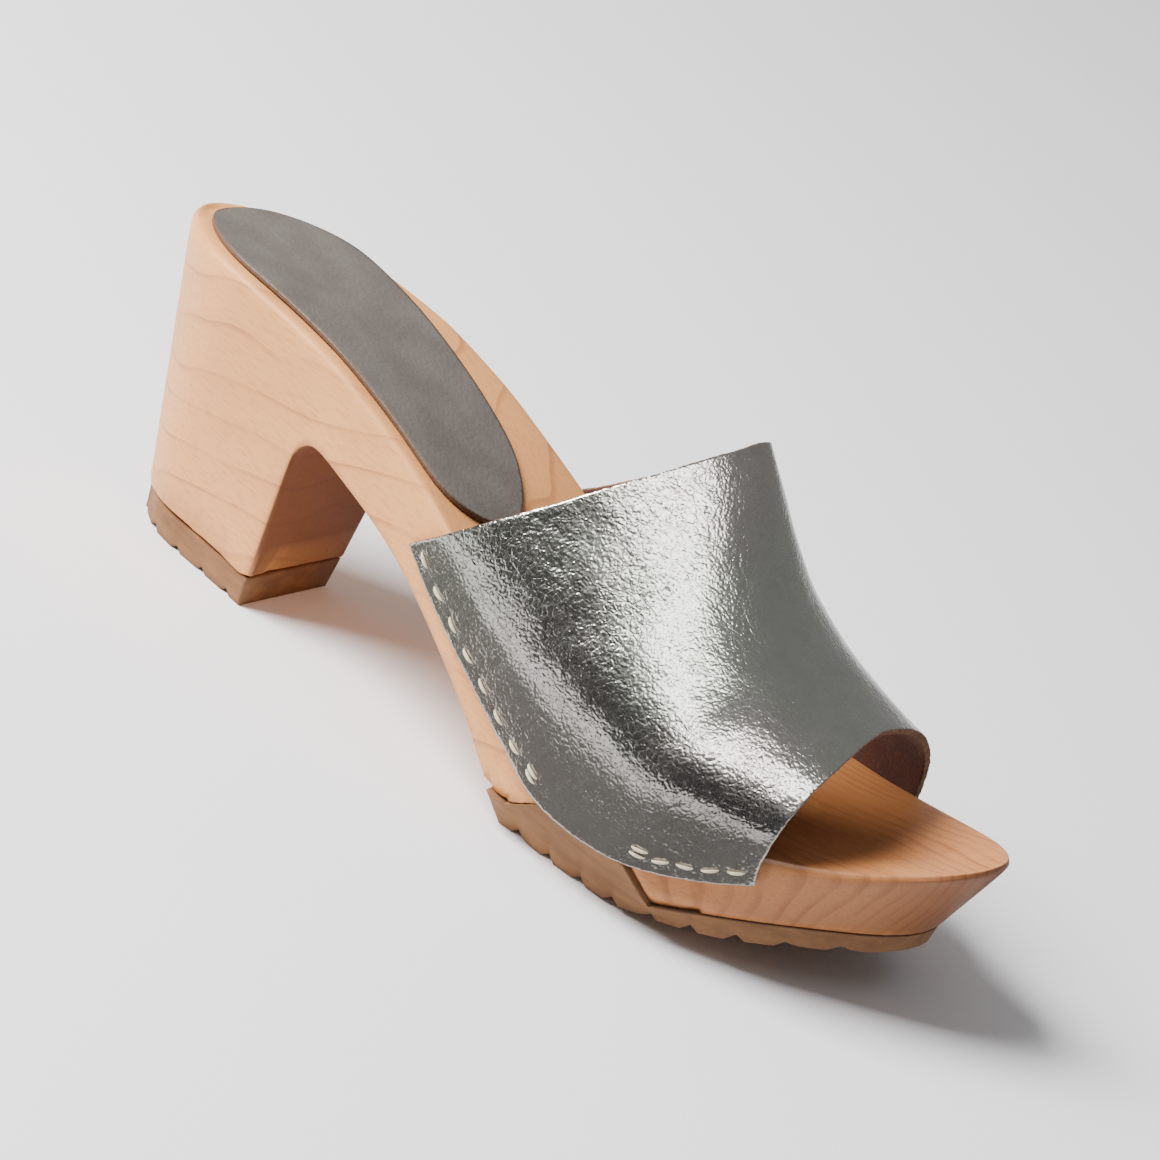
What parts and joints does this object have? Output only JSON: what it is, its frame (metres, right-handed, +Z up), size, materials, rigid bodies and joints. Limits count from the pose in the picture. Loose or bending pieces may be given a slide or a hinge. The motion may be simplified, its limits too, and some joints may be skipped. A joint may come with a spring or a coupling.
{
  "type": "heeled clog mule",
  "caption": "Right heeled clog mule: carved wooden sole with a block heel, wide metallic leather band, leather heel sock and ribbed rubber under forefoot and heel.",
  "frame": {"origin": "centre of the shoe's bounding box in plan, on the floor plane that the heel rubber and the forefoot rubber rest on", "axes": "+X along the shoe towards the toe, +Y towards the inner side of the foot, -Y towards the outer side, +Z up"},
  "size_m": [0.2422, 0.0924, 0.0972],
  "materials": {
    "wood": "satin sealed pale wood with fine brown grain",
    "rubber": "matte tan brown",
    "rubber_heel": "matte tan brown",
    "sock_leather": "satin pewter foil over brown leather",
    "band_leather": "crackled pewter foil with raw tan edges and a brown inside"
  },
  "bodies": {
    "root": {"wooden_sole": "wood", "forefoot_outsole": "rubber", "heel_top_piece": "rubber_heel", "insole": "sock_leather", "upper": "band_leather"}
  },
  "joints": []
}
